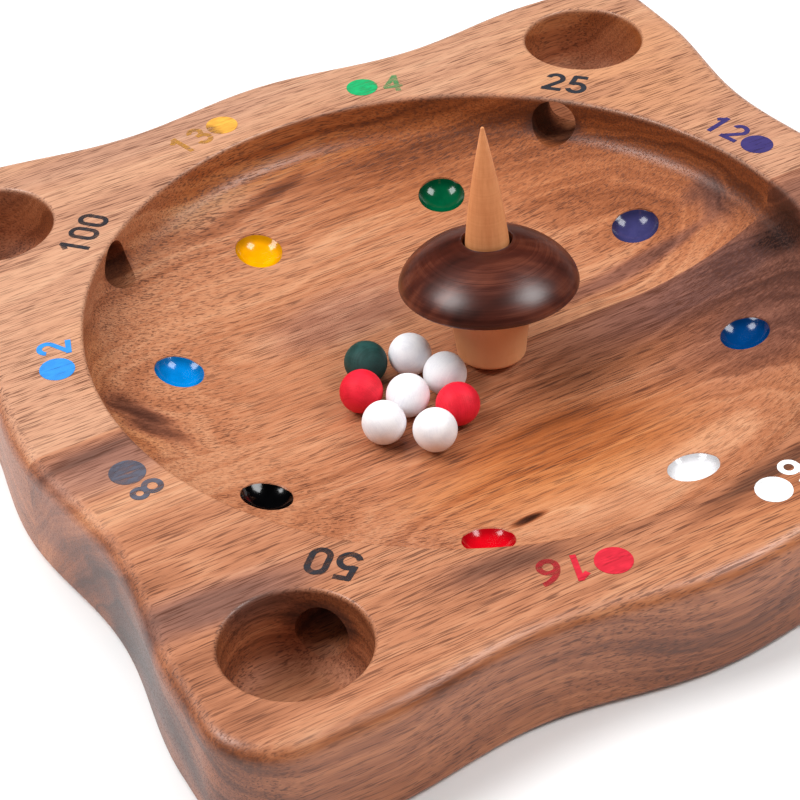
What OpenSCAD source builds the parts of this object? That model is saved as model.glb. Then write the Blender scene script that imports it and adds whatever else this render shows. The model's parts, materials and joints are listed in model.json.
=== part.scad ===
// Spinning-top roulette: a carved hardwood board with a round bowl, a cup in each corner that a
// drilled tunnel joins to the bowl, eight enamelled pits in the floor, painted scores on the rim,
// a two-piece wooden spinning top and eight loose painted balls.
// Millimetres. The origin is the middle of the board's underside, +Z is up, +X is the right side
// and +Y is the back.

/* [Board] */
// Width of the board over the middles of two opposite sides
board_size = 265; // [250:1:290]
// Thickness of the board
board_thick = 33; // [30:0.5:40]
// How far the wavy side dips between its crests
wave_dip = 5.5; // [1:0.5:7]
// Distance from the crest in the middle of a side to the crest beside a corner
wave_pitch = 98; // [90:1:100]
// Radius of the board's corners in plan
corner_r = 18.8; // [14:0.1:20]
// Radius of the rounded top edge
top_round = 5; // [2:0.5:6]
// Radius of the rounded bottom edge
bottom_round = 2.5; // [1:0.5:4]
// Turn of the glue joint between the two planks, in degrees from the X axis
glue_turn = 2.3; // [-5:0.1:5]
// Distance of the glue joint in front of the board's middle
glue_shift = 1; // [-8:0.5:8]

/* [Bowl] */
// Diameter of the bowl at its rim
bowl_d = 210; // [206:1:212]
// Depth of the bowl in its middle
bowl_depth = 23.5; // [21:0.5:24]
// Radius of the flat middle of the floor
floor_flat_r = 55; // [45:1:60]
// Radius of the long curve that lifts the floor towards the wall
floor_curve_r = 105; // [100:1:130]
// Radius of the fillet between the floor and the wall
wall_fillet = 8; // [6:0.5:10]
// Radius of the softened edge round the bowl and the cups
rim_round = 1.2; // [0.5:0.1:1.5]

/* [Cups and tunnels] */
// Diameter of a corner cup
cup_d = 37.3; // [34:0.1:38]
// Distance of a cup's centre from the board's middle
cup_ring = 143.3; // [142:0.1:146]
// Depth of a cup
cup_depth = 23.5; // [21:0.5:25]
// Radius of the rounded foot of a cup's wall
cup_fillet = 8; // [5:0.5:12]
// Diameter of the tunnel from the bowl to a cup
tunnel_d = 14; // [13:0.1:15]
// Depth of the tunnel's centre line below the top face, where it leaves the bowl
tunnel_depth = 8; // [7.8:0.1:9]
// Slope of the tunnel down towards the cup, in degrees
tunnel_slope = 14; // [10:0.5:16]

/* [Pits] */
// Radius of the ring on which the pits lie
pit_ring = 80.2; // [78:0.1:84]
// Diameter of a pit's mouth
pit_d = 14.2; // [13:0.1:15]
// Radius of the round cutter that makes a pit
pit_cutter_r = 8.5; // [8:0.1:10]
// Turn of the first pit from the middle between the right side and its corner, in degrees
pit_turn = -2; // [-5:0.5:5]
// Thickness of the enamel in a pit
enamel_thick = 0.35; // [0.2:0.05:0.6]

/* [Painted scores] */
// Diameter of a painted dot
dot_d = 9.7; // [8:0.1:10]
// Height of a side score's digits
digit_h = 9.5; // [8:0.1:10]
// Height of the digits of a corner score with two digits
corner_digit_h = 10; // [9:0.1:11]
// Height of the digits of a corner score with three digits
long_digit_h = 9.2; // [8:0.1:10]
// Thickness of the paint
paint_thick = 0.1; // [0.05:0.01:0.2]

/* [Balls] */
// Diameter of a ball
ball_d = 12.3; // [11:0.1:12.4]
// Gap that is kept under each loose piece
rest_gap = 0.15; // [0.1:0.05:0.3]

/* [Spinning top] */
// Height of the top from its foot to its tip
top_h = 73; // [70:0.5:85]
// Diameter of the flywheel disc
disc_d = 50.5; // [44:0.1:54]
// Height of the disc's widest line above the foot
disc_at = 25; // [24:0.5:30]
// Height of the disc's dome above its widest line
dome_h = 14.6; // [11:0.1:16]
// Depth of the disc's belly below its widest line
belly_h = 4.5; // [3:0.1:6]
// Diameter of the handle where it leaves the disc
handle_d = 12.6; // [11:0.1:13]
// Diameter of the spindle's stock under the disc
stock_d = 24; // [20:0.1:25]
// Diameter of the stock at its foot
foot_d = 19.6; // [17:0.1:21]
// Radius of the dome that the top stands and spins on
foot_dome_r = 25; // [20:1:40]
// Lean of the top, in degrees
lean = 5.2; // [0:0.1:6]
// Direction of the lean, in degrees from the X axis
lean_dir = 74; // [0:1:360]

/* [Hidden] */
COLOURS = ["navy", "green", "yellow", "light_blue", "black", "red", "white", "blue"];
$fn = 96;
half = board_size / 2;
bowl_r = bowl_d / 2;
floor_z = board_thick - bowl_depth;
over = 1;                    // how far a cutter stands past the face that it cuts
side_steps = 28;             // points along one wavy side
corner_steps = 6;            // points round one corner
arc_steps = 8;               // points along one rounded profile

// ---- the board's outline -------------------------------------------------------------------
function side_x(y) = half - wave_dip / 2 + wave_dip / 2 * cos(360 * y / wave_pitch);
function side_normal(y) =
    let (slope = -wave_dip / 2 * sin(360 * y / wave_pitch) * 2 * PI / wave_pitch)
    [1, -slope] / norm([1, slope]);
function turned(p, a) = [p[0] * cos(a) - p[1] * sin(a), p[0] * sin(a) + p[1] * cos(a)];
// One side and the corner after it, drawn in by the inset
function quarter(inset) = concat(
    [for (i = [0 : side_steps])
        let (y = wave_pitch * (2 * i / side_steps - 1))
        [side_x(y), y] - inset * side_normal(y)],
    [for (i = [0 : corner_steps])
        let (a = 90 * i / corner_steps)
        (half - corner_r) * [1, 1] + (corner_r - inset) * [cos(a), sin(a)]]
);
function outline(inset) = [for (k = [0 : 3]) for (p = quarter(inset)) turned(p, 90 * k)];

// The rings of the board's skin as pairs of inset and height, from the underside up
edge_rings = concat(
    [for (i = [0 : 2])
        let (a = 45 * i)
        [bottom_round * (1 - sin(a)), bottom_round * (1 - cos(a))]],
    [for (i = [0 : 4])
        let (a = 22.5 * i)
        [top_round * (1 - cos(a)), board_thick - top_round * (1 - sin(a))]]
);

// The faces of the underside and the top face fan out from a point in the middle
module board_blank() {
    n = len(outline(0));
    rings = len(edge_rings);
    top_ring = (rings - 1) * n;
    low_mid = rings * n;
    high_mid = low_mid + 1;
    skin = concat(
        [for (r = edge_rings) for (p = outline(r[0])) [p[0], p[1], r[1]]],
        [[0, 0, 0], [0, 0, board_thick]]
    );
    walls = [for (j = [0 : rings - 2]) for (i = [0 : n - 1])
        let (a = j * n + i, b = j * n + (i + 1) % n)
        each [[a, a + n, b], [b, a + n, b + n]]];
    underside = [for (i = [0 : n - 1]) [low_mid, i, (i + 1) % n]];
    top_face = [for (i = [0 : n - 1]) [high_mid, top_ring + (i + 1) % n, top_ring + i]];
    polyhedron(skin, concat(underside, walls, top_face), convexity = 6);
}

// ---- what is cut out of the board ----------------------------------------------------------
function floor_height(r) = r <= floor_flat_r ? floor_z
    : floor_z + floor_curve_r - sqrt(pow(floor_curve_r, 2) - pow(r - floor_flat_r, 2));
function floor_slope(r) = r <= floor_flat_r ? 0 : asin((r - floor_flat_r) / floor_curve_r);

// A hole's profile from its foot up: a fillet, the wall and the softened edge at the top face
function wall_profile(r, foot_x, foot_h, fillet, from_a) = concat(
    [for (i = [0 : arc_steps])
        let (a = from_a * (1 - i / arc_steps))
        [foot_x + fillet * cos(a), foot_h - fillet * sin(a)]],
    [for (i = [0 : 4])
        let (a = 90 * i / 4)
        [r + rim_round * (1 - cos(a)), board_thick - rim_round * (1 - sin(a))]],
    [[r + rim_round, board_thick + over], [0, board_thick + over]]
);

module bowl_cutter() {
    curve_h = floor_z + floor_curve_r;
    fillet_x = bowl_r - wall_fillet;
    reach = floor_curve_r - wall_fillet;
    fillet_h = curve_h - sqrt(pow(reach, 2) - pow(fillet_x - floor_flat_r, 2));
    meet_a = acos((fillet_x - floor_flat_r) / reach);
    rotate_extrude()
        polygon(concat(
            [[0, floor_z]],
            [for (i = [0 : arc_steps - 1])
                let (a = (90 - meet_a) * i / arc_steps)
                [floor_flat_r + floor_curve_r * sin(a), curve_h - floor_curve_r * cos(a)]],
            wall_profile(bowl_r, fillet_x, fillet_h, wall_fillet, meet_a)
        ));
}

module cup_cutter() {
    r = cup_d / 2;
    foot_z = board_thick - cup_depth;
    rotate_extrude()
        polygon(concat(
            [[0, foot_z]],
            wall_profile(r, r - cup_fillet, foot_z + cup_fillet, cup_fillet, 90)
        ));
}

// The tunnel runs from just inside the bowl's wall to the middle of the cup
module tunnel_cutter() {
    start = bowl_r - 16;
    length = (cup_ring - 6 - start) / cos(tunnel_slope);
    rise = (bowl_r - start) * tan(tunnel_slope);
    translate([start, 0, board_thick - tunnel_depth + rise])
        rotate([0, 90 + tunnel_slope, 0])
            cylinder(d = tunnel_d, h = length);
}

function pit_angle(i) = 22.5 + pit_turn + 45 * i;
pit_lift = sqrt(pow(pit_cutter_r, 2) - pow(pit_d / 2, 2));

// Places its children with the origin on the floor at pit i and +Z square to the floor
module at_pit(i) {
    rotate([0, 0, pit_angle(i)])
        translate([pit_ring, 0, floor_height(pit_ring)])
            rotate([0, -floor_slope(pit_ring), 0])
                children();
}

module board_cutters() {
    bowl_cutter();
    for (k = [0 : 3]) {
        rotate([0, 0, 45 + 90 * k]) {
            translate([cup_ring, 0, 0]) cup_cutter();
            tunnel_cutter();
        }
    }
    for (i = [0 : 7]) {
        at_pit(i) translate([0, 0, pit_lift]) sphere(r = pit_cutter_r);
    }
}

// Everything on one side of the glue joint
module joint_side(side) {
    span = board_size * 1.5;
    rotate([0, 0, glue_turn])
        translate([-span / 2, side > 0 ? -glue_shift : -glue_shift - span, -over])
            cube([span, span, board_thick + 2 * over]);
}

module back_plank() {
    color("burlywood")
        difference() {
            intersection() {
                board_blank();
                joint_side(1);
            }
            board_cutters();
        }
}

module front_plank() {
    color("peru")
        difference() {
            intersection() {
                board_blank();
                joint_side(-1);
            }
            board_cutters();
        }
}

// ---- enamel and paint ----------------------------------------------------------------------
module enamel(i, tint) {
    color(tint)
        at_pit(i)
            difference() {
                translate([0, 0, pit_lift]) sphere(r = pit_cutter_r);
                translate([0, 0, pit_lift]) sphere(r = pit_cutter_r - enamel_thick);
                translate([0, 0, pit_cutter_r - enamel_thick / 3])
                    cube([3 * pit_cutter_r, 3 * pit_cutter_r, 2 * pit_cutter_r], center = true);
            }
}

// A digit is drawn in a box 0.62 wide and 1 high, with its pen line inside the box
pen = 0.165;
box_w = 0.62;

module bar(a, b) {
    d = b - a;
    translate(a)
        rotate([0, 0, atan2(d[1], d[0])])
            translate([0, -pen / 2])
                square([norm(d), pen]);
}

// A pen line along a circle, from angle a0 anticlockwise to a1
module bow(c, r, a0, a1) {
    far = 4 * r;
    steps = 6;
    translate(c)
        intersection() {
            difference() {
                circle(r = r + pen / 2, $fn = 48);
                circle(r = r - pen / 2, $fn = 48);
            }
            polygon(concat([[0, 0]], [for (i = [0 : steps])
                let (a = a0 + (a1 - a0) * i / steps) far * [cos(a), sin(a)]]));
        }
}

module digit(n) {
    m = box_w / 2;
    r = m - pen / 2;
    low = pen / 2 + r;
    high = 1 - low;
    if (n == 0) {
        bow([m, high], r, 0, 180);
        bow([m, low], r, 180, 360);
        bar([pen / 2, low], [pen / 2, high]);
        bar([box_w - pen / 2, low], [box_w - pen / 2, high]);
    }
    if (n == 1) {
        bar([m + 0.02, 0], [m + 0.02, 1]);
        bar([0.1, 0.72], [m + 0.04, 0.94]);
    }
    if (n == 2) {
        bow([m, high], r, -35, 170);
        bar([0.05, 0.06], [m + r * cos(-35), high + r * sin(-35)]);
        bar([0, pen / 2], [box_w, pen / 2]);
    }
    if (n == 3) {
        bow([m, 0.745], 0.19, -90, 165);
        bow([m, 0.3], r, -165, 90);
        bar([0.22, 0.54], [m, 0.54]);
    }
    if (n == 4) {
        bar([0.44, 0], [0.44, 1]);
        bar([0, 0.29], [box_w, 0.29]);
        bar([0.04, 0.27], [0.44, 0.93]);
    }
    if (n == 5) {
        bow([m, 0.315], 0.25, -160, 130);
        bar([0.12, 0.935], [0.55, 0.935]);
        bar([0.12, 0.46], [0.17, 0.98]);
    }
    if (n == 6) {
        bow([m, low], r, 0, 360);
        bow([pen / 2 + 0.64, low], 0.64, 104, 180);
    }
    if (n == 8) {
        bow([m, 0.745], 0.19, 0, 360);
        bow([m, low], r, 0, 360);
    }
}

// A number centred on the origin and read along +X
module number(digits, height) {
    step = box_w + 0.12;
    width = step * len(digits) - 0.12;
    scale(height)
        for (i = [0 : len(digits) - 1]) {
            translate([i * step - width / 2, -0.5]) digit(digits[i]);
        }
}

// Places its children on the top face at a radius and an angle, upright as read from the bowl
module at_rim(spot) {
    rotate([0, 0, spot[1]])
        translate([spot[0], 0])
            rotate([0, 0, -90])
                children();
}

// A painted dot and its score, each placed by its radius and its angle from the X axis
module side_score(dot_at, score_at, digits, tint) {
    color(tint)
        translate([0, 0, board_thick])
            linear_extrude(paint_thick) {
                at_rim(dot_at) circle(d = dot_d, $fn = 64);
                at_rim(score_at) number(digits, digit_h);
            }
}

module corner_score(score_at, digits) {
    tall = len(digits) > 2 ? long_digit_h : corner_digit_h;
    color("dimgray")
        translate([0, 0, board_thick])
            linear_extrude(paint_thick)
                at_rim(score_at) number(digits, tall);
}

// ---- the spinning top ----------------------------------------------------------------------
top_foot = [7.7, -2.9];      // where the top stands in the bowl
shoulder_h = disc_at - belly_h;
bore_r = handle_d / 2;
mouth_r = bore_r + 0.6;
mouth_depth = 4;

function disc_half(t, rise, fullness) =
    [disc_d / 2 * pow(cos(t), 2 / fullness), disc_at + rise * pow(sin(t), 2 / fullness)];
dome_points = [for (i = [0 : 14]) disc_half(90 * i / 15, dome_h, 1.67)];
belly_points = [for (i = [12 : -1 : 1]) disc_half(90 * i / 13, -belly_h, 1.8)];
mouth_h = disc_at + dome_h * pow(1 - pow(2 * mouth_r / disc_d, 1.67), 1 / 1.67);

module stand_top() {
    translate([top_foot[0], top_foot[1], floor_z + 2 * rest_gap])
        rotate([0, lean, lean_dir])
            children();
}

module flywheel_disc() {
    color("saddlebrown")
        stand_top()
            rotate_extrude()
                polygon(concat(
                    [[bore_r, shoulder_h]],
                    [for (p = belly_points) if (p[0] > bore_r) p],
                    [for (p = dome_points) if (p[0] > mouth_r + 0.2) p],
                    [[mouth_r, mouth_h], [mouth_r, mouth_h - mouth_depth],
                        [bore_r, mouth_h - mouth_depth]]
                ));
}

module spindle() {
    edge = 1.5;
    tip_r = 0.5;
    handle_foot = mouth_h - mouth_depth;
    handle_h = top_h - tip_r - handle_foot;
    taper = 1.4;
    last = pow(1 - tip_r / bore_r, 1 / taper);
    flat_r = foot_d / 2 - edge;
    dome_a = asin(flat_r / foot_dome_r);
    edge_h = foot_dome_r * (1 - cos(dome_a)) + edge;
    color("sandybrown")
        stand_top()
            rotate_extrude()
                polygon(concat(
                    [for (i = [0 : 4])
                        let (a = dome_a * i / 4)
                        foot_dome_r * [sin(a), 1 - cos(a)]],
                    [for (i = [1 : 4])
                        let (a = 90 * i / 4)
                        [flat_r + edge * sin(a), edge_h - edge * cos(a)]],
                    [[stock_d / 2, shoulder_h], [bore_r, shoulder_h]],
                    [for (i = [0 : 12])
                        let (s = last * i / 12)
                        [bore_r * (1 - pow(s, taper)), handle_foot + handle_h * i / 12]],
                    [for (i = [1 : 4])
                        let (a = 90 * i / 4)
                        [tip_r * cos(a), top_h - tip_r + tip_r * sin(a)]]
                ));
}

// ---- the balls -----------------------------------------------------------------------------
module ball(place, tint) {
    color(tint)
        translate([place[0], place[1], floor_z + rest_gap + ball_d / 2])
            sphere(d = ball_d);
}

back_plank();
front_plank();
enamel(0, "darkslateblue");  // enamel_navy
enamel(1, "darkgreen");  // enamel_green
enamel(2, "orange");  // enamel_yellow
enamel(3, "dodgerblue");  // enamel_light_blue
enamel(4, "black");  // enamel_black
enamel(5, "crimson");  // enamel_red
enamel(6, "white");  // enamel_white
enamel(7, "navy");  // enamel_blue
side_score([114.7, 10.4], [114.9, 16.5], [1, 2], "darkslateblue");  // score_12_navy
side_score([114.9, 76.5], [114.7, 71.7], [4], "mediumseagreen");  // score_4_green
side_score([116.4, 100], [116.1, 106], [1, 3], "orange");  // score_13_orange
side_score([113.3, 166.7], [113.2, 161.8], [2], "dodgerblue");  // score_2_light_blue
side_score([113.5, 192], [113.9, 196.4], [8], "slategray");  // score_8_grey
side_score([116.8, 259.2], [116.6, 253], [1, 6], "crimson");  // score_16_red
side_score([115.6, 283.2], [114.6, 287.8], [6], "white");  // score_6_white
side_score([115, 348], [115, 341.8], [1, 0], "navy");  // score_10_blue
corner_score([115.1, 44.4], [2, 5]);  // score_25_corner
corner_score([114.3, 133.9], [1, 0, 0]);  // score_100_corner
corner_score([114.8, 225], [5, 0]);  // score_50_corner
corner_score([115, 315], [2, 0, 0]);  // score_200_corner
spindle();
flywheel_disc();
ball([-15.2, 3.2], "white");  // white_ball_1
ball([-11, -9.4], "white");  // white_ball_2
ball([-24.5, -12.8], "white");  // white_ball_3
ball([-35.7, -19.9], "white");  // white_ball_4
ball([-25.2, -29.8], "white");  // white_ball_5
ball([-34.7, -4.7], "crimson");  // red_ball_1
ball([-14.5, -23.2], "crimson");  // red_ball_2
ball([-27.6, 6.3], "darkslategray");  // green_ball
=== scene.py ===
# %% [markdown]
# # A spinning-top roulette board
# A carved hardwood board has a round bowl with eight enamelled pits, and a cup in each corner that a
# tunnel joins to the bowl. A wooden top is spun in the bowl and throws loose balls into the pits and
# cups. This lesson dresses the measured frame: it builds smooth pieces over it, and gives each one a
# finish that is made of nodes.

# %% Load the frame
import bpy
import bmesh
import json
import math
from mathutils import Matrix, Vector

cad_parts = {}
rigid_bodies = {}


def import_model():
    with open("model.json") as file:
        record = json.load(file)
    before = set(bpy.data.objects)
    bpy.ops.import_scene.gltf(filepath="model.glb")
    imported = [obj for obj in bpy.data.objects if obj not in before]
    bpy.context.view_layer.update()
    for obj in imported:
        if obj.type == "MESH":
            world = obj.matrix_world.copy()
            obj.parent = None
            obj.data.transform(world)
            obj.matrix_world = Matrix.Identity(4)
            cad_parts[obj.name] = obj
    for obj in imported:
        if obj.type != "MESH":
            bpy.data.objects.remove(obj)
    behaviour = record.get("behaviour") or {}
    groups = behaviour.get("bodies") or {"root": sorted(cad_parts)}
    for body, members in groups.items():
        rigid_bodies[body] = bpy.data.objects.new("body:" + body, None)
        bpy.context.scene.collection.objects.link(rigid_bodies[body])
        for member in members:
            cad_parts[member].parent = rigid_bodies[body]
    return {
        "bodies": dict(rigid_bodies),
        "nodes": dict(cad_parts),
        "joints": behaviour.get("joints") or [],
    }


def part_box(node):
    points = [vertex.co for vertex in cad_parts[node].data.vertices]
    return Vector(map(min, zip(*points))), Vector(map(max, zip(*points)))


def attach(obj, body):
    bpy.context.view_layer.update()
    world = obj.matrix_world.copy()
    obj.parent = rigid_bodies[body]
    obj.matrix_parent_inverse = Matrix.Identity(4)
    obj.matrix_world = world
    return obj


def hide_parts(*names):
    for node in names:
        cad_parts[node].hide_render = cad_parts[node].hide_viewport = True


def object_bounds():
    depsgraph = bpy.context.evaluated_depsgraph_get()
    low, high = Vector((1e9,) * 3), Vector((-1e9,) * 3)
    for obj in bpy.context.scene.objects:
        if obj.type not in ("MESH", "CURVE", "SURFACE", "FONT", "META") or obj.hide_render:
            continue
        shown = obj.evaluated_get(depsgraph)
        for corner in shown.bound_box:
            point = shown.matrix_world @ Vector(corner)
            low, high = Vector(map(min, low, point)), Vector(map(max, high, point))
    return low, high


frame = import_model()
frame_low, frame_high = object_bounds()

MM = 0.001
size = (frame_high - frame_low) / MM
print("frame, mm:", [round(v, 1) for v in size])

# %% [markdown]
# ## From points to pieces
# Every piece starts as points in millimetres, because that is how a maker reads a drawing. One helper
# turns points and faces into a mesh in metres, smooths it up to the edges that are really sharp, and
# makes it ride on its body of the frame. A weighted-normal modifier keeps the flat faces flat where
# they run into a rounded edge.

# %% A helper that makes a piece
def make_mesh(name, points, faces):
    mesh = bpy.data.meshes.new(name)
    mesh.from_pydata([Vector(p) * MM for p in points], [], faces)
    work = bmesh.new()
    work.from_mesh(mesh)
    bmesh.ops.recalc_face_normals(work, faces=work.faces)
    work.to_mesh(mesh)
    work.free()
    return mesh


def make_piece(name, mesh, place=Matrix.Identity(4), sharp=38):
    mesh.shade_smooth()
    mesh.set_sharp_from_angle(angle=math.radians(sharp))
    piece = bpy.data.objects.new(name, mesh)
    bpy.context.scene.collection.objects.link(piece)
    piece.matrix_world = place
    smoother = piece.modifiers.new("even shading", "WEIGHTED_NORMAL")
    smoother.keep_sharp = True
    return piece


def fit(piece, body, slot, finish, *nodes):
    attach(piece, body)
    if nodes:
        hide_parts(*nodes)
    piece.data.materials.clear()
    piece.data.materials.append(finish)
    print(piece.name, "has", len(piece.data.polygons), "faces and rides on", body)


# %% A helper that turns a profile round the Z axis, as a lathe does
def lathe(profile, turns=128):
    points, faces, rings = [], [], []
    for radius, height in profile:
        if radius < 1e-6:
            rings.append([len(points)])
            points.append((0, 0, height))
        else:
            rings.append(list(range(len(points), len(points) + turns)))
            for i in range(turns):
                angle = 2 * math.pi * i / turns
                points.append((radius * math.cos(angle), radius * math.sin(angle), height))
    for low, high in zip(rings, rings[1:]):
        for i in range(turns):
            j = (i + 1) % turns
            if len(low) == 1:
                faces.append((low[0], high[j], high[i]))
            elif len(high) == 1:
                faces.append((low[i], low[j], high[0]))
            else:
                faces.append((low[i], low[j], high[j], high[i]))
    for ring, flip in ((rings[0], True), (rings[-1], False)):
        if len(ring) > 1:
            faces.append(tuple(reversed(ring)) if flip else tuple(ring))
    return points, faces


# %% [markdown]
# ## The language of the finishes
# A finish is easier to read as a formula than as a web of nodes. The class `Wire` wraps the output of a
# node, and its operators add Math nodes, so `1 - mask` means what it says. The class `Finish` holds one
# material. Its method `node` adds any other node: first its settings, then its sockets. Colours and
# vectors go through Mix and Vector Math, since a Math node would turn them grey.

# %% A value in a finish
class Wire:
    def __init__(self, finish, socket):
        self.finish = finish
        self.socket = socket

    def maths(self, operation, *values):
        return self.finish.node("ShaderNodeMath", {"operation": operation}, dict(enumerate(values)))

    def __add__(self, other):
        return self.maths("ADD", self, other)

    def __radd__(self, other):
        return self.maths("ADD", other, self)

    def __sub__(self, other):
        return self.maths("SUBTRACT", self, other)

    def __rsub__(self, other):
        return self.maths("SUBTRACT", other, self)

    def __mul__(self, other):
        return self.maths("MULTIPLY", self, other)

    def __rmul__(self, other):
        return self.maths("MULTIPLY", other, self)

    def __abs__(self):
        return self.maths("ABSOLUTE", self)


# %% A finish, its nodes and its commonest steps
class Finish:
    def __init__(self, name):
        self.material = bpy.data.materials.new(name)
        self.material.use_nodes = True
        self.tree = self.material.node_tree
        self.shader = self.tree.nodes["Principled BSDF"]

    def node(self, kind, settings=None, sockets=None, out=0):
        made = self.tree.nodes.new(kind)
        for key, value in (settings or {}).items():
            if key == "stops":
                self.set_stops(made.color_ramp, value)
            else:
                setattr(made, key, value)
        for key, value in (sockets or {}).items():
            self.plug(made.inputs[key], value)
        return Wire(self, made.outputs[out])

    def plug(self, socket, value):
        if isinstance(value, Wire):
            self.tree.links.new(value.socket, socket)
        else:
            socket.default_value = value

    def set_stops(self, ramp, stops):
        while len(ramp.elements) < len(stops):
            ramp.elements.new(0.5)
        for element, (place, colour) in zip(ramp.elements, stops):
            element.position = place
            element.color = colour

    def surface(self, **sockets):
        for key, value in sockets.items():
            self.plug(self.shader.inputs[key.replace("_", " ")], value)
        return self.material

    def place(self):
        """Where a point is, in millimetres."""
        spot = self.node("ShaderNodeTexCoord", out=3)
        return self.vector("SCALE", spot, scale=1 / MM)

    def vector(self, operation, first, second=None, scale=None, out=0):
        sockets = {0: first}
        if second is not None:
            sockets[1] = second
        if scale is not None:
            sockets["Scale"] = scale
        return self.node("ShaderNodeVectorMath", {"operation": operation}, sockets, out)

    def axes(self, vector):
        split = self.node("ShaderNodeSeparateXYZ", {}, {0: vector})
        others = split.socket.node.outputs
        return split, Wire(self, others[1]), Wire(self, others[2])

    def noise(self, vector, grain=(1, 1, 1), detail=1.0, rough=0.5, shift=0.0, colour=False):
        """Smooth chance whose lumps are as long as the grain says, in the vector's own unit."""
        stretched = self.node(
            "ShaderNodeMapping", {"vector_type": "POINT"},
            {0: vector, "Location": (shift, shift * 0.7, shift * 1.3), "Scale": [1 / g for g in grain]})
        return self.node(
            "ShaderNodeTexNoise", {"noise_dimensions": "3D"},
            {0: stretched, "Scale": 1.0, "Detail": detail, "Roughness": rough}, 1 if colour else 0)

    def fade(self, value, start, end):
        """0 before start and 1 after end, with a soft step between. Start may be the larger one."""
        if start > end:
            return 1 - self.fade(value, end, start)
        return self.node(
            "ShaderNodeMapRange", {"interpolation_type": "SMOOTHSTEP", "clamp": True},
            {0: value, 1: start, 2: end, 3: 0.0, 4: 1.0})

    def patch(self, vector, centre, reach, turn=0.0, core=0.25):
        """A soft spot: 1 in its core and 0 beyond its reach along its own axes."""
        local = self.node(
            "ShaderNodeMapping", {"vector_type": "TEXTURE"},
            {0: vector, 1: centre, 2: (0, 0, math.radians(turn)), 3: reach})
        return self.fade(self.vector("LENGTH", local, out=1), 1.0, core)

    def ramp(self, value, stops):
        return self.node("ShaderNodeValToRGB", {"stops": stops}, {0: value})

    def mix(self, share, first, second):
        return self.node("ShaderNodeMix", {"data_type": "RGBA"}, {0: share, 6: first, 7: second}, 2)

    def bump(self, height, depth_mm, strength=1.0):
        sockets = {"Strength": strength, "Distance": depth_mm * MM, "Height": height}
        return self.node("ShaderNodeBump", {}, sockets)


# %% Colours as a paint chart gives them
def tint(red, green, blue, share=1.0):
    def straight(v):
        v = v / 255
        return v / 12.92 if v <= 0.04045 else ((v + 0.055) / 1.055) ** 2.4
    return tuple(share * straight(v) for v in (red, green, blue)) + (1.0,)


print("honey:", [round(v, 3) for v in tint(204, 128, 83)])

# %% [markdown]
# ## Sizes of the board
# The board has a few driving sizes, as on a maker's drawing. The width and the thickness are read from
# the frame. The rest repeats its design in millimetres: the waves of the sides, the bowl, the cups, the
# tunnels and the pits. They are named here, since both the shapes and the finishes need them.

# %% Sizes of the board, read from the frame where it shows them
half = frame_high.x / MM
top_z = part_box("front_plank")[1].z / MM
WAVE_DIP, WAVE_PITCH, CORNER_R = 5.5, 98.0, 18.8
TOP_ROUND, BOTTOM_ROUND = 5.0, 2.5
BOWL_R, FLOOR_Z, FLAT_R, FLOOR_CURVE = 105.0, top_z - 23.5, 55.0, 105.0
WALL_FILLET, RIM_ROUND = 8.0, 1.2
CUP_R, CUP_RING, CUP_DEPTH, CUP_FILLET = 18.65, 143.3, 23.5, 8.0
TUNNEL_R, TUNNEL_DEPTH, TUNNEL_SLOPE = 7.0, 8.0, 14.0
PIT_RING, PIT_R, PIT_CUTTER = 80.2, 7.1, 8.5
GLUE_TURN, GLUE_SHIFT = 2.3, 1.0
print("half width", round(half, 2), "and thickness", round(top_z, 2))

# %% [markdown]
# ## The figure of the wood
# The board is a brown hardwood with a ribbon of light and dark layers. A tree grows in layers round its
# pith, so the finish measures each point's distance from a pith line that runs along the grain below
# the board. That one idea makes straight bands on the flat top, curved contours where the bowl cuts
# through the layers, and rings on the end grain. Open pores are noise stretched along the grain: they
# are dashes on long grain and dots on end grain, with no seam between the two. Soft patches then put the
# darker heartwood streaks where this board has them. A picture of wood would be quicker, but it would
# smear on the bowl's wall.

# %% Tones of the wood, from dark pores to pale sapwood
LIT = 0.86
BROWN = [
    (0.00, tint(48, 24, 15, LIT)), (0.18, tint(94, 52, 33, LIT)), (0.38, tint(148, 86, 55, LIT)),
    (0.60, tint(192, 123, 86, LIT)), (0.80, tint(216, 153, 114, LIT)), (1.00, tint(232, 180, 141, LIT))]
PURPLE = [
    (0.00, tint(42, 26, 25, LIT)), (0.25, tint(94, 60, 53, LIT)), (0.50, tint(146, 98, 84, LIT)),
    (0.75, tint(186, 134, 114, LIT)), (1.00, tint(214, 168, 147, LIT))]
ORANGE = [
    (0.00, tint(54, 23, 9, LIT)), (0.25, tint(112, 55, 25, LIT)), (0.50, tint(176, 97, 49, LIT)),
    (0.75, tint(214, 136, 80, LIT)), (1.00, tint(236, 172, 118, LIT))]
BLEACHED, PORE, SPECK = tint(240, 204, 178, LIT), tint(92, 50, 34, LIT), tint(84, 46, 32, LIT)
GRAIN_TURN = 2.5
print("tones of wood:", len(BROWN), len(PURPLE), len(ORANGE))


# %% Where the parts of the board are, as masks for the wood and for its painted shade
def streaks(wood, spot, patches):
    """The sum of some soft patches, each with its strength, centre, reach and turn."""
    total = 0.0
    for strength, centre, reach, turn in patches:
        total = total + strength * wood.patch(spot, centre, reach, turn)
    return total


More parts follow.
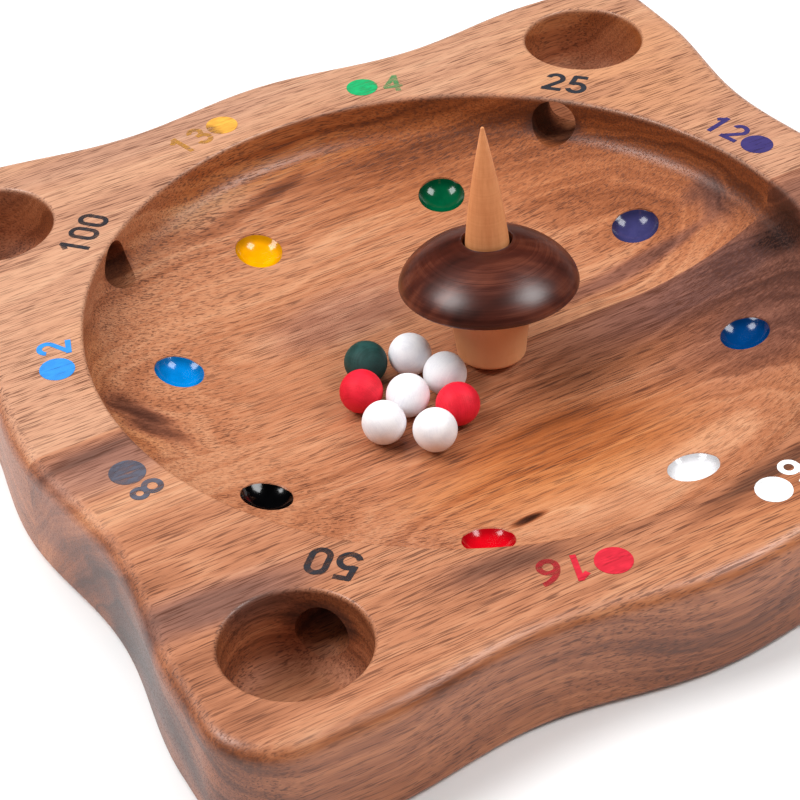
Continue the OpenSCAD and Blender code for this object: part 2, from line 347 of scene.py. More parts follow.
def board_parts(wood, spot):
    """Far is the side away from the camera. A hole is a cup or a tunnel, folded into one corner of four."""
    x, y, z = wood.axes(spot)
    from_middle = wood.vector("LENGTH", wood.vector("MULTIPLY", spot, (1, 1, 0)), out=1)
    in_bowl = wood.fade(from_middle, BOWL_R + 2, BOWL_R + 0.5)
    far = wood.fade(0.5 * x + y, 5, 80)
    wall = wood.fade(from_middle, BOWL_R - 18, BOWL_R - 4) * in_bowl * wood.fade(z, top_z, top_z - 1.5)
    far_floor = wood.fade(from_middle, FLAT_R, BOWL_R - 13) * in_bowl * far * wood.fade(x, -30, 30)
    folded = wood.vector("ABSOLUTE", spot)
    cup_x = round(CUP_RING * math.cos(math.pi / 4), 1)
    cup = wood.patch(folded, (cup_x, cup_x, 13), (23, 23, 19.5), core=0.72)
    tunnel = wood.patch(folded, (82, 82, 23), (17, 17, 9.3), core=0.72)
    hole = wood.node("ShaderNodeMath", {"operation": "MAXIMUM"}, {0: cup, 1: tunnel})
    side = wood.fade(from_middle, BOWL_R + 1, BOWL_R + 3) * wood.fade(z, top_z - 0.1, top_z - 3) * (1 - hole)
    return {
        "top": wood.fade(z, top_z - 2, top_z - 0.1), "side": side, "tunnel": tunnel, "hole": hole,
        "wall": wall, "far wall": wall * far * wood.fade(z, 17, 25), "far floor": far_floor}


# %% The wood of one plank
def plank_wood(name, pith, level, pale, dark, purple, orange, shift):
    """pith is the y and z of the pith line, level the middle tone, and pale the bleaching of the top face."""
    wood = Finish(name)
    spot = wood.place()
    part = board_parts(wood, spot)
    turned = wood.node(
        "ShaderNodeMapping", {"vector_type": "TEXTURE"}, {0: spot, 2: (0, 0, math.radians(GRAIN_TURN))})
    drift = wood.noise(turned, (70, 22, 22), 2.0, 0.5, shift, colour=True)
    drift = wood.vector("SUBTRACT", drift, (0.5, 0.5, 0.5))
    warped = wood.vector("ADD", turned, wood.vector("MULTIPLY", drift, (30, 13, 13)))
    flat = wood.vector("SUBTRACT", wood.vector("MULTIPLY", warped, (0, 1, 1)), (0, pith[0], pith[1]))
    layer = wood.vector("LENGTH", flat, out=1)
    along = wood.axes(warped)[0]
    seat = wood.node("ShaderNodeCombineXYZ", {}, {0: layer, 1: along, 2: 0.0})
    broad = wood.noise(seat, (9, 300, 1), 2.0, 0.6, shift)
    fine = wood.noise(seat, (1.9, 120, 1), 2.0, 0.6, shift + 3)
    fibre = wood.noise(turned, (24, 0.7, 0.7), 2.0, 0.6, shift + 7)
    pores = wood.fade(wood.noise(turned, (10, 0.42, 0.42), 1.2, 0.5, shift + 11), 0.53, 0.64)
    specks = wood.fade(wood.noise(turned, (5.0, 0.32, 0.32), 1.0, 0.5, shift + 17), 0.56, 0.72)
    end_grain = abs(wood.axes(wood.node("ShaderNodeNewGeometry", out=1))[0])
    tone = level + 0.72 * (broad - 0.5) + 0.52 * (fine - 0.5) + 0.36 * (fibre - 0.5)
    # The tunnels are painted much darker, as painted shade inside the drilled holes. The cups are painted a
    # little darker and warmer, partly as their rougher raw wood and partly as painted shade.
    tone = tone - streaks(wood, warped, dark) - 0.08 * end_grain - 0.07 * part["hole"] - 0.28 * part["tunnel"]
    # The far floor and the far wall of the bowl are painted darker and warmer: painted shade, with painted
    # warm bounce light.
    tone = tone - 0.02 * part["far wall"] - 0.22 * part["far floor"] - 0.12 * part["side"]
    warm = streaks(wood, warped, orange) + 0.12 * part["hole"] + 0.4 * part["side"]
    warm = warm + 0.5 * part["far wall"] + 0.5 * part["far floor"]
    colour = wood.mix(warm, wood.ramp(tone, BROWN), wood.ramp(tone, ORANGE))
    colour = wood.mix(streaks(wood, warped, purple), colour, wood.ramp(tone, PURPLE))
    colour = wood.mix(pale * part["top"], colour, BLEACHED)
    crowd = wood.fade(broad, 0.62, 0.38)
    colour = wood.mix(pores * (0.44 + 0.34 * crowd), colour, PORE)
    colour = wood.mix(specks * (0.36 + 0.36 * part["wall"]), colour, SPECK)
    relief = 1 - 0.8 * pores - 0.4 * specks + 0.35 * fibre
    sheen = 0.36 + 0.14 * pores + 0.16 * (fibre - 0.5) + 0.3 * part["hole"]
    return wood.surface(
        Base_Color=colour, Roughness=sheen, Specular_IOR_Level=0.5, Normal=wood.bump(relief, 0.06, 0.4))


# %% The streaks of the back plank: strength, centre, reach and turn, in millimetres and degrees
BACK_DARK = [
    # The first patch has a negative strength: it makes a band at the foot of the far wall lighter, not
    # darker.
    (-0.16, (-32, 94, 19), (40, 9, 8), -12), (0.30, (-16, 92.5, 17), (42, 3, 6), 14),
    (0.20, (66, 11, 10), (60, 4.5, 12), 4), (0.30, (95, 18, 17), (9, 15, 9), -20),
    (0.42, (-92, 20, 16), (8, 18, 10), 12),
    (0.10, (-16, 38, 9), (34, 14, 10), 0), (0.12, (104, 10, 20), (14, 14, 12), 0)]
BACK_PURPLE = [
    (0.75, (66, 11, 10), (62, 5, 12), 4), (0.8, (95, 18, 17), (10, 16, 10), -20),
    (0.6, (-16, 38, 9), (40, 18, 10), 0), (0.35, (-40, 122, 33), (90, 12, 12), 1),
    (0.5, (-92, 20, 16), (9, 18, 10), 12)]
BACK_ORANGE = [
    (1.0, (100, 75, 33), (55, 60, 14), 0), (0.7, (0, 104, 24), (95, 14, 14), 0),
    (0.5, (-100, 30, 24), (16, 60, 16), 0)]
wood_back = plank_wood(
    "oiled_wood_back_plank", (30, -55), 0.69, 0.26, BACK_DARK, BACK_PURPLE, BACK_ORANGE, 0.0)
print("nodes in the back plank's wood:", len(wood_back.node_tree.nodes))

# %% The streaks of the front plank
FRONT_DARK = [
    (0.21, (-119, -8, 33), (30, 3.2, 14), 1), (0.08, (-118, -15, 33), (26, 11, 14), 0),
    (0.17, (66, -8, 12), (62, 15, 16), 2), (0.24, (92, -38, 14), (58, 42, 22), 0),
    (0.20, (-112, -76, 33), (36, 9, 14), -3), (0.14, (8, -42, 9), (34, 12, 8), 0),
    (0.22, (-92, -126, 31), (30, 4, 12), 3), (0.24, (-50, -101, 33), (22, 4, 12), -8),
    (0.25, (20, -107, 33), (34, 4, 14), 9), (0.8, (-22, -68, 10), (8, 2.6, 8), 3),
    (0.18, (118, -14, 33), (30, 18, 16), 2), (0.36, (103, -12, 22), (12, 14, 16), 0),
    (0.26, (-133, -60, 14), (11, 80, 22), 0), (0.16, (-128, -112, 30), (16, 34, 9), 0),
    (0.12, (-40, -133, 12), (90, 8, 16), 0)]
FRONT_PURPLE = [
    (0.9, (66, -8, 12), (64, 17, 16), 2), (0.75, (98, -34, 14), (60, 46, 22), 0),
    (0.9, (-112, -75, 33), (42, 12, 14), -4), (0.9, (-119, -12, 33), (34, 13, 14), 1),
    (0.7, (118, -14, 33), (34, 20, 16), 2), (0.8, (-133, -60, 14), (10, 80, 22), 0),
    (0.4, (-50, -101, 33), (24, 6, 12), -8)]
FRONT_ORANGE = [
    (0.9, (0, -48, 9), (62, 30, 12), 0), (0.5, (40, -120, 33), (80, 20, 14), 0),
    (0.5, (-40, -95, 20), (50, 14, 16), 0)]
wood_front = plank_wood(
    "oiled_wood_front_plank", (-80, -40), 0.64, 0.05, FRONT_DARK, FRONT_PURPLE, FRONT_ORANGE, 23.0)
print("nodes in the front plank's wood:", len(wood_front.node_tree.nodes))

# %% [markdown]
# ## The board
# The real board is sawn to a wavy outline, its edges are rounded over with a router, the bowl and cups
# are turned or milled, and the tunnels are drilled from the bowl to the cups. The same steps work here:
# a loft makes the blank, and an exact boolean takes away the shapes that the cutters sweep. A height
# map could not make the tunnels, and hand-placed faces would not meet them cleanly.

# %% The wavy outline, drawn in by an inset
def outline(inset, side_steps=88, corner_steps=14):
    quarter = []
    for i in range(side_steps + 1):
        y = WAVE_PITCH * (2 * i / side_steps - 1)
        turn = 2 * math.pi * y / WAVE_PITCH
        x = half - WAVE_DIP / 2 + WAVE_DIP / 2 * math.cos(turn)
        slope = -WAVE_DIP / 2 * math.sin(turn) * 2 * math.pi / WAVE_PITCH
        out = Vector((1, -slope)).normalized()
        quarter.append(Vector((x, y)) - inset * out)
    for i in range(corner_steps + 1):
        angle = math.pi / 2 * i / corner_steps
        middle = Vector((half - CORNER_R, half - CORNER_R))
        quarter.append(middle + (CORNER_R - inset) * Vector((math.cos(angle), math.sin(angle))))
    points = []
    for k in range(4):
        turn = Matrix.Rotation(k * math.pi / 2, 2)
        points += [turn @ p for p in quarter]
    return points


def board_blank():
    rings = []
    for i in range(6):
        angle = math.pi / 2 * i / 5
        rings.append((BOTTOM_ROUND * (1 - math.sin(angle)), BOTTOM_ROUND * (1 - math.cos(angle))))
    for i in range(10):
        angle = math.pi / 2 * i / 9
        rings.append((TOP_ROUND * (1 - math.cos(angle)), top_z - TOP_ROUND * (1 - math.sin(angle))))
    points = [(p.x, p.y, z) for inset, z in rings for p in outline(inset)]
    count = len(points) // len(rings)
    faces = []
    for j in range(len(rings) - 1):
        for i in range(count):
            a, b = j * count + i, j * count + (i + 1) % count
            faces.append((a, b, b + count, a + count))
    faces.append(tuple(reversed(range(count))))
    faces.append(tuple(range(len(points) - count, len(points))))
    return make_mesh("board_blank", points, faces)


# %% Profiles of the bowl's cutter and the cups' cutter
def floor_height(r):
    if r <= FLAT_R:
        return FLOOR_Z
    return FLOOR_Z + FLOOR_CURVE - math.sqrt(FLOOR_CURVE ** 2 - (r - FLAT_R) ** 2)


def wall_profile(r, foot_x, foot_z, fillet, start):
    points = []
    for i in range(15):
        angle = math.radians(start) * (1 - i / 14)
        points.append((foot_x + fillet * math.cos(angle), foot_z - fillet * math.sin(angle)))
    for i in range(9):
        angle = math.pi / 2 * i / 8
        points.append((r + RIM_ROUND * (1 - math.cos(angle)), top_z - RIM_ROUND * (1 - math.sin(angle))))
    return points + [(r + RIM_ROUND, top_z + 1), (0, top_z + 1)]


def bowl_profile():
    fillet_x, reach = BOWL_R - WALL_FILLET, FLOOR_CURVE - WALL_FILLET
    fillet_z = FLOOR_Z + FLOOR_CURVE - math.sqrt(reach ** 2 - (fillet_x - FLAT_R) ** 2)
    meet = math.degrees(math.acos((fillet_x - FLAT_R) / reach))
    dish = [(0, FLOOR_Z)]
    for i in range(14):
        r = FLAT_R + FLOOR_CURVE * math.sin(math.radians((90 - meet) * i / 14))
        dish.append((r, floor_height(r)))
    return dish + wall_profile(BOWL_R, fillet_x, fillet_z, WALL_FILLET, meet)


cup_foot = top_z - CUP_DEPTH
cup_profile = [(0, cup_foot)] + wall_profile(CUP_R, CUP_R - CUP_FILLET, cup_foot + CUP_FILLET, CUP_FILLET, 90)
print("bowl profile has", len(bowl_profile()), "points")


# %% The cutters, as tools that are put away after use
tools = bpy.data.collections.new("cutters")


def add_cutter(name, points, faces, place):
    cutter = bpy.data.objects.new(name, make_mesh(name, points, faces))
    cutter.matrix_world = place
    tools.objects.link(cutter)


def shift_by(x, y, z):
    return Matrix.Translation(Vector((x, y, z)) * MM)


def turn_by(degrees, axis):
    return Matrix.Rotation(math.radians(degrees), 4, axis)


def pit_place(angle):
    slope = math.degrees(math.asin((PIT_RING - FLAT_R) / FLOOR_CURVE))
    return turn_by(angle, "Z") @ shift_by(PIT_RING, 0, floor_height(PIT_RING)) @ turn_by(-slope, "Y")


COATS = ["navy", "green", "yellow", "light_blue", "black", "red", "white", "blue"]
pit_angles = {}
for coat in COATS:
    low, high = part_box("enamel_" + coat)
    pit_angles[coat] = math.degrees(math.atan2(low.y + high.y, low.x + high.x))
pit_lift = math.sqrt(PIT_CUTTER ** 2 - PIT_R ** 2)
add_cutter("bowl_cutter", *lathe(bowl_profile(), 256), Matrix.Identity(4))
for k in range(4):
    corner = turn_by(45 + 90 * k, "Z")
    add_cutter("cup_cutter", *lathe(cup_profile, 96), corner @ shift_by(CUP_RING, 0, 0))
    start = BOWL_R - 16
    rise = (BOWL_R - start) * math.tan(math.radians(TUNNEL_SLOPE))
    length = (CUP_RING - 6 - start) / math.cos(math.radians(TUNNEL_SLOPE))
    drill = lathe([(0, 0), (TUNNEL_R, 0), (TUNNEL_R, length), (0, length)], 64)
    add_cutter(
        "tunnel_drill", *drill,
        corner @ shift_by(start, 0, top_z - TUNNEL_DEPTH + rise) @ turn_by(90 + TUNNEL_SLOPE, "Y"))
angles = [math.pi * i / 32 for i in range(33)]
ball_end = [(PIT_CUTTER * math.sin(angle), -PIT_CUTTER * math.cos(angle)) for angle in angles]
ball_end[0], ball_end[-1] = (0, -PIT_CUTTER), (0, PIT_CUTTER)
for coat, angle in pit_angles.items():
    add_cutter("pit_cutter", *lathe(ball_end, 64), pit_place(angle) @ shift_by(0, 0, pit_lift))


# %% Cut each plank out of the blank and carve its share of the bowl
def carve_plank(name, side):
    blank = bpy.data.objects.new(name + "_blank", board_blank())
    bpy.context.scene.collection.objects.link(blank)
    span = 2 * half
    y_low = -GLUE_SHIFT if side > 0 else -GLUE_SHIFT - span
    corners = [(x, y, z) for z in (-1, top_z + 1) for y in (y_low, y_low + span) for x in (-span, span)]
    sides = [(0, 1, 3, 2), (4, 6, 7, 5), (0, 4, 5, 1), (2, 3, 7, 6), (0, 2, 6, 4), (1, 5, 7, 3)]
    saw = bpy.data.objects.new("saw", make_mesh("saw", corners, sides))
    saw.matrix_world = turn_by(GLUE_TURN, "Z")
    bpy.context.scene.collection.objects.link(saw)
    keep = blank.modifiers.new("saw", "BOOLEAN")
    keep.operation, keep.solver, keep.object = "INTERSECT", "EXACT", saw
    carve = blank.modifiers.new("carve", "BOOLEAN")
    carve.operation, carve.solver, carve.operand_type = "DIFFERENCE", "EXACT", "COLLECTION"
    carve.collection = tools
    bpy.context.view_layer.update()
    seen = blank.evaluated_get(bpy.context.evaluated_depsgraph_get())
    mesh = bpy.data.meshes.new_from_object(seen)
    mesh.name = name
    for helper in (blank, saw):
        bpy.data.objects.remove(helper)
    return make_piece(name, mesh, sharp=35)


back_plank = carve_plank("back_plank_carved", 1)
front_plank = carve_plank("front_plank_carved", -1)
for cutter in list(tools.objects):
    bpy.data.objects.remove(cutter)
bpy.data.collections.remove(tools)
fit(back_plank, "board", "wood_back", wood_back, "back_plank")
fit(front_plank, "board", "wood_front", wood_front, "front_plank")

# %% [markdown]
# ## Enamel in the pits
# Thick gloss enamel is dropped into each pit and draws itself up the sides, so it is a shallow glossy
# pool with a slightly uneven edge. A disc of rings follows the pit's round foot and wavers a little at
# its rim. Solidify or a boolean would give the even edge of a machine, which hand-dropped paint lacks.

# %% The enamel pools
def enamel_pool(name, seed):
    rings, turns = 14, 72
    points = [(0, 0, pit_lift - PIT_CUTTER + 0.55)]
    faces = []
    for j in range(1, rings + 1):
        share = j / rings
        for i in range(turns):
            angle = 2 * math.pi * i / turns
            waver = 0.10 * math.sin(2 * angle + seed) + 0.07 * math.sin(5 * angle + 2.3 * seed)
            r = (PIT_R + 0.12 + waver) * share
            foot = pit_lift - math.sqrt(max(PIT_CUTTER ** 2 - r * r, 0)) if r < PIT_R else 0.0
            thick = 0.05 + 0.5 * (1 - share ** 2) ** 0.8
            dimple = 0.05 * math.sin(3 * angle + seed) * share * (1 - share)
            points.append((r * math.cos(angle), r * math.sin(angle), foot + thick + dimple))
    for i in range(turns):
        faces.append((0, 1 + i, 1 + (i + 1) % turns))
    for j in range(rings - 1):
        for i in range(turns):
            a, b = 1 + j * turns + i, 1 + j * turns + (i + 1) % turns
            faces.append((a, a + turns, b + turns, b))
    lip = len(points)
    last = 1 + (rings - 1) * turns
    for i in range(turns):
        x, y, z = points[last + i]
        points.append((x * 1.012, y * 1.012, z - 0.25))
    for i in range(turns):
        j = (i + 1) % turns
        faces.append((last + i, lip + i, lip + j, last + j))
    return make_mesh(name, points, faces)


def gloss_enamel(name, colour, seed):
    coat = Finish(name)
    spot = coat.place()
    cloud = coat.noise(spot, (3, 3, 3), 2.0, 0.5, seed)
    wave = coat.noise(spot, (2.2, 2.2, 2.2), 1.0, 0.4, seed + 5)
    deep, thin = (tuple(share * v for v in colour[:3]) + (1.0,) for share in (0.86, 0.42))
    reach = coat.vector("LENGTH", coat.vector("MULTIPLY", spot, (1, 1, 0)), out=1)
    body = coat.mix(coat.fade(cloud, 0.35, 0.65), deep, colour)
    # Towards the rim the colour turns to thin, a darker copy of the enamel: this is painted shade on the
    # steep wall of the pit, where the enamel also runs thin.
    return coat.surface(
        Base_Color=coat.mix(0.75 * coat.fade(reach, 4.6, 6.9), body, thin), Roughness=0.12 + 0.05 * cloud,
        Specular_IOR_Level=0.45, Normal=coat.bump(wave, 0.10, 0.4))


ENAMELS = {
    "navy": tint(60, 58, 104), "green": tint(0, 80, 48), "yellow": tint(248, 170, 0),
    "light_blue": tint(0, 126, 204), "black": tint(4, 4, 5), "red": tint(204, 4, 22),
    "white": tint(240, 240, 243), "blue": tint(0, 56, 112)}
for seed, coat in enumerate(COATS):
    name = "enamel_pool_" + coat
    pool = make_piece(name, enamel_pool(name, 1.7 * seed), pit_place(pit_angles[coat]))
    gloss = gloss_enamel("gloss_enamel_" + coat, ENAMELS[coat], seed)
    fit(pool, "board", "enamel_" + coat, gloss, "enamel_" + coat)

# %% [markdown]
# ## Painted dots and numbers
# The scores are printed thinly on the bare wood, so the grain shows through them and some have worn
# patchy. The frame's own thin solids are crisp enough to keep. Their finish is see-through where a
# noise says that the ink is thin.

# %% Thin printed paint
def thin_paint(name, colour, cover, patchy, seed, faint=None):
    """faint is the middle and reach of a part that has worn thinner than the rest."""
    ink = Finish(name)
    spot = ink.place()
    grain = ink.noise(spot, (5, 0.7, 0.7), 1.5, 0.5, seed)
    worn = ink.noise(spot, (4.0, 1.8, 1.8), 2.0, 0.55, seed + 9)
    thin = ink.fade(worn, 0.66, 0.36)
    alpha = cover - patchy * thin - 0.25 * ink.fade(grain, 0.54, 0.70)
    if faint:
        alpha = alpha - 0.5 * ink.patch(spot, faint[0], faint[1], core=0.7)
    shade = tuple(0.88 * v for v in colour[:3]) + (1.0,)
    return ink.surface(Base_Color=ink.mix(grain, colour, shade), Alpha=alpha, Roughness=0.55 + 0.2 * worn)


SCORES = {
    "score_12_navy": ("paint_navy", tint(66, 56, 118), 0.92, 0.10),
    "score_4_green": ("paint_green", tint(30, 190, 116), 0.92, 0.20),
    "score_13_orange": ("paint_orange", tint(255, 184, 74), 0.96, 0.20),
    "score_2_light_blue": ("paint_light_blue", tint(56, 152, 238), 0.95, 0.12),
    "score_8_grey": ("paint_grey", tint(104, 106, 122), 0.76, 0.30),
    "score_16_red": ("paint_red", tint(222, 36, 58), 0.97, 0.18),
    "score_6_white": ("paint_white", tint(250, 250, 250), 1.02, 0.08),
    "score_10_blue": ("paint_blue", tint(16, 72, 140), 0.95, 0.15)}
FAINT = {
    "score_13_orange": ((-32, 112, 33), (12, 9, 9)), "score_16_red": ((-38, -111, 33), (7, 8, 8)),
    "score_4_green": ((36, 109, 33), (6, 8, 8))}
CORNERS = {
    "score_25_corner": (0.92, 0.12), "score_100_corner": (0.78, 0.30),
    "score_50_corner": (0.70, 0.30), "score_200_corner": (0.9, 0.2)}
DARK_INK = tint(52, 54, 62)
inks = {}
for seed, (node, (slot, colour, cover, patchy)) in enumerate(SCORES.items()):
    inks[node] = thin_paint("thin_" + slot, colour, cover, patchy, seed * 3.1, FAINT.get(node))
for seed, (node, (cover, patchy)) in enumerate(CORNERS.items()):
    inks[node] = thin_paint("thin_ink_" + node, DARK_INK, cover, patchy, 40 + seed * 3.1)
for node, ink in inks.items():
    frame["nodes"][node].data.materials.clear()
    frame["nodes"][node].data.materials.append(ink)
print("printed scores:", len(inks))

# %% [markdown]
# ## The spinning top
# The spindle is one turned piece of light wood: a pointed handle, a hidden core and a stock that the top
# stands on. The flywheel is a dark turned disc pressed on it. Both are turned on a lathe, so a profile
# spun round the axis is the honest way. The pieces are made upright and then stood on the leaning axis
# that the frame's joint gives.

# %% Where the top stands, from its joint
spin = [j for j in frame["joints"] if j["name"] == "top_spin"][0]
lean_axis = Vector(spin["axis"]).normalized()
stand = Matrix.Translation(Vector(spin["pos_m"])) @ lean_axis.to_track_quat("Z", "Y").to_matrix().to_4x4()
DISC_R, DISC_AT, DOME_H, BELLY_H = 25.25, 25.0, 14.6, 4.5
HANDLE_R, STOCK_R, FOOT_R, FOOT_DOME, TOP_H = 6.3, 12.0, 9.8, 25.0, 73.0
MOUTH_R, MOUTH_DEPTH = HANDLE_R + 0.6, 4.0
print("the top leans", round(math.degrees(lean_axis.angle(Vector((0, 0, 1)))), 2), "degrees")


# %% The disc and the spindle as profiles
def disc_half(share, rise, fullness):
    angle = math.pi / 2 * share
    return DISC_R * math.cos(angle) ** (2 / fullness), DISC_AT + rise * math.sin(angle) ** (2 / fullness)


mouth_z = DISC_AT + DOME_H * (1 - (MOUTH_R / DISC_R) ** 1.67) ** (1 / 1.67)
shoulder_z = DISC_AT - BELLY_H
belly = [disc_half(i / 40, -BELLY_H, 1.8) for i in range(36, 0, -1)]
dome = [disc_half(i / 64, DOME_H, 1.67) for i in range(62)]
disc_profile = [(HANDLE_R + 0.02, shoulder_z)] + [p for p in belly if p[0] > HANDLE_R + 0.3]
disc_profile += [p for p in dome if p[0] > MOUTH_R + 0.5]
for i in range(5):
    angle = math.pi / 2 * i / 4
    disc_profile.append((MOUTH_R + 0.35 * (1 - math.sin(angle)), mouth_z - 0.35 * (1 - math.cos(angle))))
disc_profile += [(MOUTH_R, mouth_z - MOUTH_DEPTH), (HANDLE_R + 0.02, mouth_z - MOUTH_DEPTH)]
handle_foot = mouth_z - MOUTH_DEPTH
tip_r, taper = 0.5, 1.4
handle_h = TOP_H - tip_r - handle_foot
edge = 1.5
flat_r = FOOT_R - edge
dome_angle = math.asin(flat_r / FOOT_DOME)
edge_z = FOOT_DOME * (1 - math.cos(dome_angle)) + edge
spindle_profile = []
for i in range(7):
    angle = dome_angle * i / 6
    spindle_profile.append((FOOT_DOME * math.sin(angle), FOOT_DOME * (1 - math.cos(angle))))
for i in range(1, 9):
    angle = math.pi * i / 16
    spindle_profile.append((flat_r + edge * math.sin(angle), edge_z - edge * math.cos(angle)))
for i in range(1, 7):
    spindle_profile.append((FOOT_R + (STOCK_R - FOOT_R) * i / 6, edge_z + (shoulder_z - edge_z) * i / 6))
spindle_profile.append((HANDLE_R, shoulder_z))
last = (1 - tip_r / HANDLE_R) ** (1 / taper)
for i in range(41):
    spindle_profile.append((HANDLE_R * (1 - (last * i / 40) ** taper), handle_foot + handle_h * i / 40))
for i in range(1, 8):
    angle = math.pi * i / 16
    spindle_profile.append((tip_r * math.cos(angle), TOP_H - tip_r + tip_r * math.sin(angle)))
spindle_profile.append((0, TOP_H))
print("profiles have", len(disc_profile), "and", len(spindle_profile), "points")


# %% A point's place on the top, measured along its leaning axis
def top_place(finish):
    return finish.node(
        "ShaderNodeMapping", {"vector_type": "TEXTURE"},
        {0: finish.place(), 1: stand.translation / MM, 2: stand.to_euler()})


# %% Dark lacquered wood of the disc, with turning lines round its axis
def disc_wood():
    dark = Finish("dark_lacquered_wood")
    spot = top_place(dark)
    z = dark.axes(spot)[2]
    reach = dark.vector("LENGTH", dark.vector("MULTIPLY", spot, (1, 1, 0)), out=1)
    ring = dark.node("ShaderNodeCombineXYZ", {}, {0: reach, 1: 0.0, 2: z})
    lines = dark.noise(ring, (0.35, 1, 0.35), 2.0, 0.6, 4)
    streak = dark.noise(spot, (22, 5, 9), 2.5, 0.55, 9)
    broad = dark.noise(spot, (16, 16, 16), 1.0, 0.5, 2)
    colour = dark.ramp(0.55 * streak + 0.25 * lines + 0.2 * broad, [
        (0.32, tint(44, 16, 10)), (0.50, tint(74, 30, 19)), (0.70, tint(120, 62, 42))])
    return dark.surface(
        Base_Color=colour, Roughness=0.27 + 0.14 * lines, Specular_IOR_Level=0.6,
        Normal=dark.bump(lines, 0.03, 0.6))


# %% Honey-coloured wood of the spindle, with its grain along the axis
def spindle_wood():
    honey = Finish("honey_turned_wood")
    spot = top_place(honey)
    cloud = honey.noise(spot, (9, 9, 22), 2.0, 0.5, 3)
    fibre = honey.noise(spot, (0.8, 0.8, 14), 2.0, 0.6, 6)
    z = honey.axes(spot)[2]
    ring = honey.node("ShaderNodeCombineXYZ", {}, {0: 0.0, 1: 0.0, 2: z})
    turning = honey.noise(ring, (1, 1, 0.5), 1.5, 0.6, 8)
    knot = honey.patch(spot, (-2.5, -6, 55), (3, 4, 2.4))
    # The stock under the disc is painted lighter: this is painted light against the shade that the disc
    # throws on it.
    stock_painted_light = honey.fade(z, 24, 18)
    tone = 0.62 * cloud + 0.24 * fibre + 0.14 * turning - 0.20 * knot + 0.26 * stock_painted_light
    colour = honey.ramp(tone, [
        (0.25, tint(186, 112, 62)), (0.42, tint(212, 134, 82)),
        (0.58, tint(226, 152, 98)), (0.75, tint(236, 170, 120))])
    return honey.surface(
        Base_Color=colour, Roughness=0.46 + 0.12 * fibre, Specular_IOR_Level=0.4,
        Normal=honey.bump(turning + 0.5 * fibre, 0.02, 0.4))


def stand_up(name, profile, turns):
    """The lean is put into the mesh, so that the piece's own box is as tight as the piece."""
    mesh = make_mesh(name, *lathe(profile, turns))
    mesh.transform(stand)
    return make_piece(name, mesh)


disc = stand_up("disc_turned", disc_profile + [disc_profile[0]], 160)
fit(disc, "spinning_top", "dark_wood", disc_wood(), "flywheel_disc")
spindle = stand_up("spindle_turned", spindle_profile, 128)
fit(spindle, "spinning_top", "honey_wood", spindle_wood(), "spindle")

# %% [markdown]
# ## The balls
# The balls are small turned beads dipped in matt paint. The paint is not quite even: it keeps faint
# lathe rings, the wood's fibres lift it a little, and the beads are not perfectly round. A sphere of
# many faces is nudged by a few slow waves, and each ball is turned its own way.

# %% Painted balls
def bead(name, radius, seed):
    points, faces = lathe([(0, -1)] + [
        (math.sin(math.pi * i / 40), -math.cos(math.pi * i / 40)) for i in range(1, 40)] + [(0, 1)], 72)
    shaped = []
    for x, y, z in points:
        lump = 0.006 * math.sin(3 * x + seed) + 0.005 * math.sin(4 * y - 1.7 * seed) - 0.008
        flat = -0.012 * max(0.0, abs(z) - 0.93) / 0.07
        shaped.append(tuple(radius * (1 + lump + flat) * v for v in (x, y, z)))
    return make_mesh(name, shaped, faces)


def bead_paint(name, colour, deep, seed):
    paint = Finish(name)
    spot = paint.place()
    z = paint.axes(spot)[2]
    ring = paint.node("ShaderNodeCombineXYZ", {}, {0: 0.0, 1: 0.0, 2: z})
    rings = paint.noise(ring, (1, 1, 0.33), 1.5, 0.5, seed)
    fuzz = paint.noise(spot, (0.5, 0.5, 0.5), 2.0, 0.6, seed + 4)
    cloud = paint.noise(spot, (4, 4, 4), 1.5, 0.5, seed + 8)
    share = paint.fade(0.5 * cloud + 0.25 * rings + 0.25 * fuzz, 0.38, 0.60)
    return paint.surface(
        Base_Color=paint.mix(share, deep, colour), Roughness=0.52 + 0.2 * fuzz, Specular_IOR_Level=0.35,
        Normal=paint.bump(0.6 * rings + 0.5 * fuzz, 0.05, 0.6))


BEADS = {
    "white": bead_paint("matt_white_bead", tint(248, 248, 250), tint(236, 236, 241), 1),
    "red": bead_paint("matt_red_bead", tint(236, 30, 54), tint(214, 16, 40), 5),
    "green": bead_paint("matt_green_bead", tint(38, 78, 74), tint(26, 60, 56), 9)}
balls = sorted(body for body in frame["bodies"] if "ball" in body)
for seed, ball in enumerate(balls):
    low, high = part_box(ball)
    radius = (high.z - low.z) / 2 / MM
    tilt = Matrix.Rotation(1.1 + 0.9 * seed, 4, "X") @ Matrix.Rotation(2.3 * seed, 4, "Y")
    name = ball + "_bead"
    piece = make_piece(name, bead(name, radius, seed), Matrix.Translation((low + high) / 2) @ tilt)
    colour = ball.split("_")[0]
    fit(piece, ball, colour + "_ball_paint", BEADS[colour], ball)

# %% [markdown]
# ## Floor, light and camera
# The board lies on a plain pale sweep. Two soft boxes stand to the left and right of it, and a wide,
# even light comes from above in a white room. That is how a shop shows such a thing: soft shadows, and
# two small windows in every glossy pit. The even light is a sun with a wide angle and not a panel,
# because a panel would leave the far floor grey. Only the soft boxes show in the gloss.

# %% The floor
FLOOR_R, FLOOR_DROP = 2500.0, 0.2


def pale_floor():
    angles = [2 * math.pi * i / 96 for i in range(96)]
    ring = [(FLOOR_R * math.cos(angle), FLOOR_R * math.sin(angle), -FLOOR_DROP) for angle in angles]
    floor = make_piece("floor", make_mesh("floor", ring, [tuple(range(96))]))
    paper = Finish("pale_paper")
    cloud = paper.noise(paper.place(), (400, 400, 400), 1.0)
    shade = paper.mix(cloud, tint(246, 246, 246), tint(250, 250, 250))
    floor.data.materials.append(paper.surface(Base_Color=shade, Roughness=0.9, Specular_IOR_Level=0.1))
    return floor


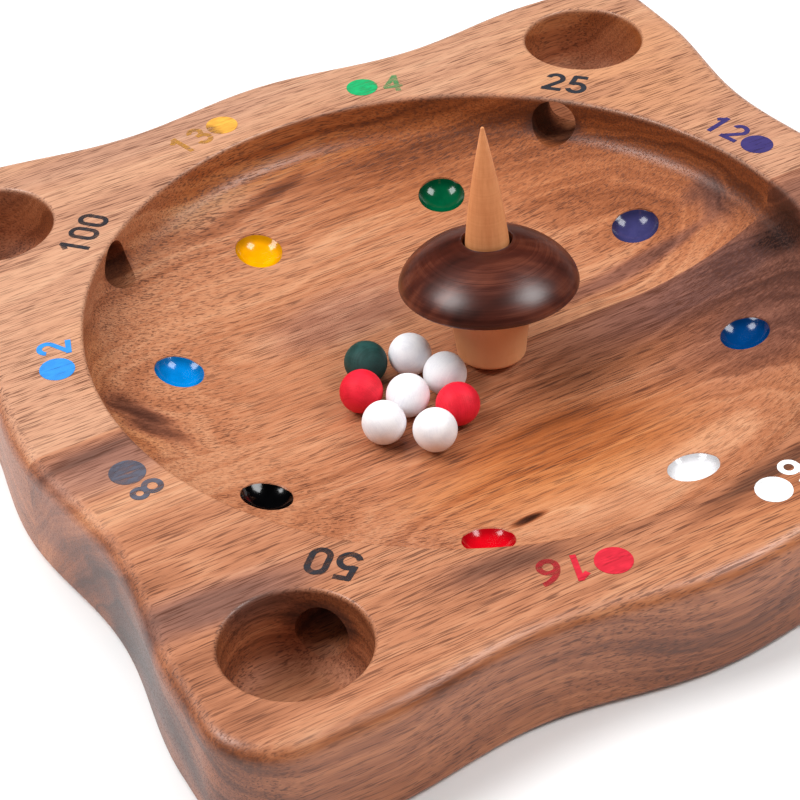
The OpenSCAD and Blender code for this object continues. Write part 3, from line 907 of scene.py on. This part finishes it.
floor = pale_floor()
print("floor at", round(floor.data.vertices[0].co.z / MM, 2), "mm")

# %% The camera
def bearing(side, height):
    """A unit vector. side turns to the right from the front, and height is the angle above the table."""
    return Vector((math.sin(side) * math.cos(height), -math.cos(side) * math.cos(height), math.sin(height)))


look_at = Vector((-37.0, -33.0, top_z)) * MM
azimuth, elevation, roll = (math.radians(v) for v in (-26.416, 38.424, -2.719))
camera_distance = 0.6566
back = bearing(azimuth, elevation)
right = Vector((math.cos(azimuth), math.sin(azimuth), 0))
up = back.cross(right)
level = right * math.cos(roll) + up * math.sin(roll)
plumb = up * math.cos(roll) - right * math.sin(roll)
camera = bpy.data.objects.new("camera", bpy.data.cameras.new("camera"))
camera.data.lens, camera.data.sensor_width = 112.3, 36.0
camera.data.clip_start = 0.02
turn = Matrix((level, plumb, back)).transposed().to_4x4()
camera.matrix_world = Matrix.Translation(look_at + camera_distance * back) @ turn
bpy.context.scene.collection.objects.link(camera)
bpy.context.scene.camera = camera
print("camera at", [round(v, 3) for v in camera.matrix_world.translation])


# %% The lights
def soft_box(name, side, height, distance, width, depth, power):
    """side is the angle to the right of the camera, and height the angle above the table."""
    way = bearing(azimuth + math.radians(side), math.radians(height))
    lamp = bpy.data.objects.new(name, bpy.data.lights.new(name, "AREA"))
    lamp.data.shape, lamp.data.size, lamp.data.size_y, lamp.data.energy = "RECTANGLE", width, depth, power
    lamp.matrix_world = Matrix.Translation(way * distance) @ way.to_track_quat("Z", "Y").to_matrix().to_4x4()
    bpy.context.scene.collection.objects.link(lamp)
    return lamp


soft_box("left_box", -79, 50, 1.1, 0.44, 0.44, 6.6)
soft_box("right_box", 79, 50, 1.1, 0.44, 0.44, 6.6)
sky = bpy.data.objects.new("wide_top_light", bpy.data.lights.new("wide_top_light", "SUN"))
sky.data.energy, sky.data.angle = 1.85, math.radians(50)
sky_side = Matrix.Rotation(azimuth + math.radians(-140), 4, "Z")
sky.matrix_world = sky_side @ Matrix.Rotation(math.radians(30), 4, "X")
sky.visible_glossy = False
bpy.context.scene.collection.objects.link(sky)

# %% The white room, which looks brighter than it shines so that it meets the floor without an edge
ROOM_LIGHT, ROOM_LOOK = 0.25, 0.78
world = bpy.data.worlds.new("white_room")
world.use_nodes = True
room = world.node_tree
wall_paint = room.nodes["Background"].inputs
wall_paint["Color"].default_value = (1, 1, 1, 1)
glance = room.nodes.new("ShaderNodeLightPath")
glow = room.nodes.new("ShaderNodeMapRange")
glow.inputs["To Min"].default_value, glow.inputs["To Max"].default_value = ROOM_LIGHT, ROOM_LOOK
room.links.new(glance.outputs["Is Camera Ray"], glow.inputs["Value"])
room.links.new(glow.outputs["Result"], wall_paint["Strength"])
world.cycles_visibility.glossy = False
bpy.context.scene.world = world
bpy.context.scene.view_settings.view_transform = "Standard"
print("the room shines at", ROOM_LIGHT, "and looks", ROOM_LOOK)
